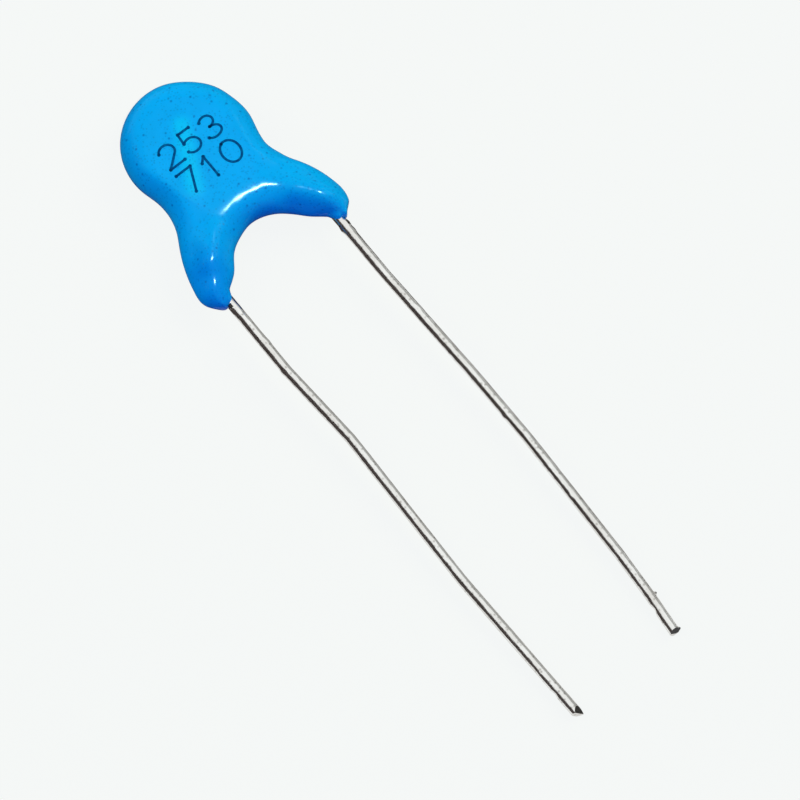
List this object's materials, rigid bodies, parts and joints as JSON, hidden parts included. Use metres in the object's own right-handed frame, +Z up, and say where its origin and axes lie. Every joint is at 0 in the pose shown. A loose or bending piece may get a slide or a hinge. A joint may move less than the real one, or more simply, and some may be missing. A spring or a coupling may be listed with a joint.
{
  "type": "ceramic disc capacitor",
  "caption": "Radial ceramic disc capacitor with a glossy blue epoxy coat that runs down over both long tinned wire leads.",
  "frame": {"origin": "centre of the disc, on the flat rear face that the capacitor lies on", "axes": "+Z up from the rear face to the front face, -Y from the disc towards the lead tips, +X to the right seen from the front"},
  "size_m": [0.0098, 0.0415, 0.0028],
  "materials": {
    "blue_epoxy": "glossy dipped epoxy",
    "ceramic": "matt fired",
    "silver": "matt fired silver",
    "solder": "dull solder",
    "tinned_wire": "hot-tinned, slightly uneven"
  },
  "bodies": {
    "root": {"coating": "blue_epoxy", "ceramic_disc": "ceramic", "front_electrode": "silver", "rear_electrode": "silver", "front_solder": "solder", "rear_solder": "solder", "left_lead": "tinned_wire", "right_lead": "tinned_wire"}
  },
  "joints": []
}
